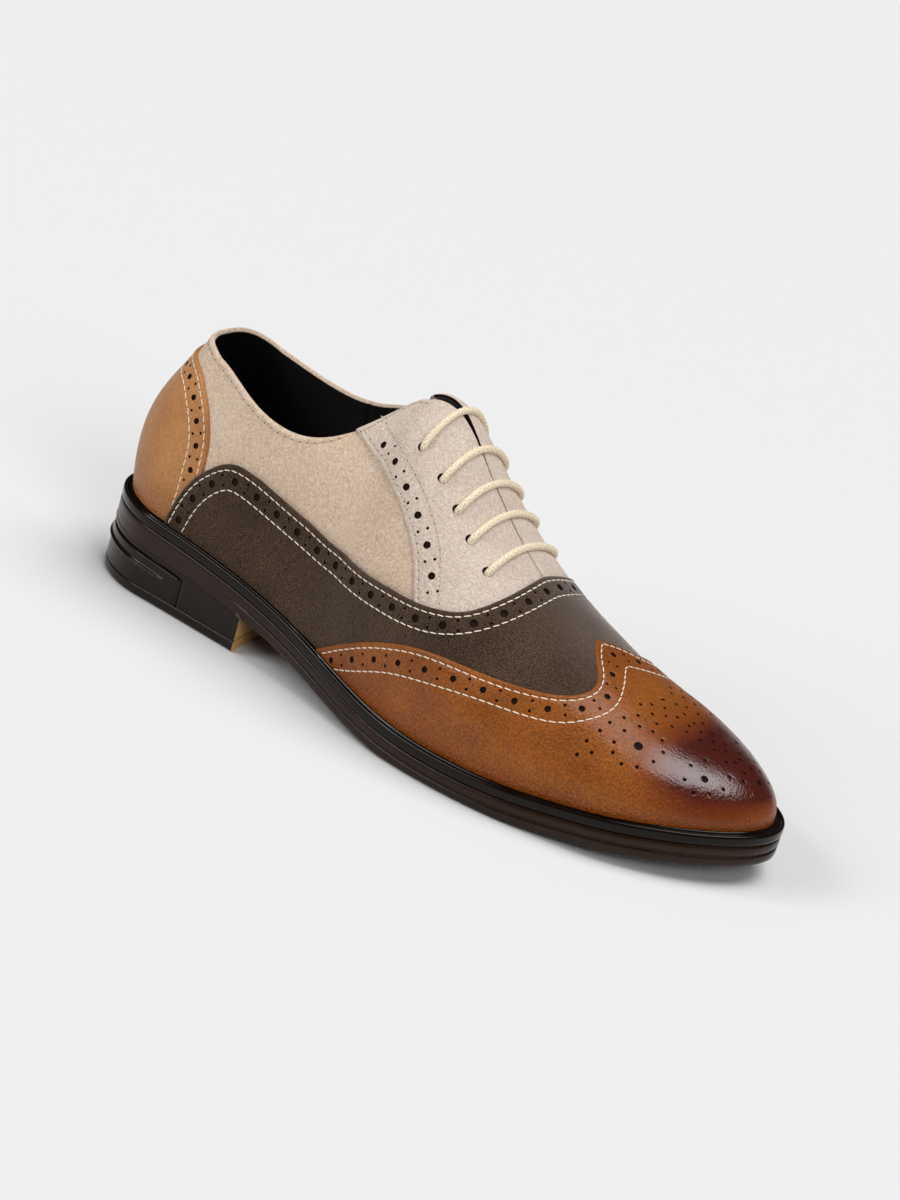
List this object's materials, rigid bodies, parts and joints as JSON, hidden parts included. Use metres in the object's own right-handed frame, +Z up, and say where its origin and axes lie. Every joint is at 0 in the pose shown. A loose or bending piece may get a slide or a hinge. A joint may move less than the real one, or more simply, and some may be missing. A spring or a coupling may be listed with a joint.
{
  "type": "brogue shoe",
  "caption": "Laced wing-tip brogue shoe for the right foot: hollow suede upper with nubuck and burnished leather overlays on a welted rubber sole with a low heel.",
  "frame": {"origin": "bottom centre of the bounding box, on the plane that the heel and the forefoot stand on", "axes": "+X from heel to toe, +Y to the medial side (towards the other foot), +Z up"},
  "size_m": [0.297, 0.1074, 0.1164],
  "materials": {
    "sole_rubber": "satin black-brown",
    "welt_rubber": "satin black-brown",
    "heel_rubber": "satin black-brown",
    "lift_rubber": "satin black-brown",
    "insole_leather": "matt black",
    "quarter_suede": "beige suede",
    "lining_leather": "matt black",
    "vamp_nubuck": "dark grey-brown nubuck",
    "burnished_leather": "polished, burnished dark at the toe",
    "counter_leather": "polished",
    "facing_suede": "beige suede",
    "lace_cotton": "waxed cream braid"
  },
  "bodies": {
    "root": {"outsole": "sole_rubber", "welt": "welt_rubber", "heel": "heel_rubber", "top_lift": "lift_rubber", "insole": "insole_leather", "upper": "quarter_suede", "tongue": "lining_leather", "vamp_panel": "vamp_nubuck", "wing_cap": "burnished_leather", "heel_counter": "counter_leather", "facing_lateral": "facing_suede", "facing_medial": "facing_suede", "lace": "lace_cotton"}
  },
  "joints": []
}
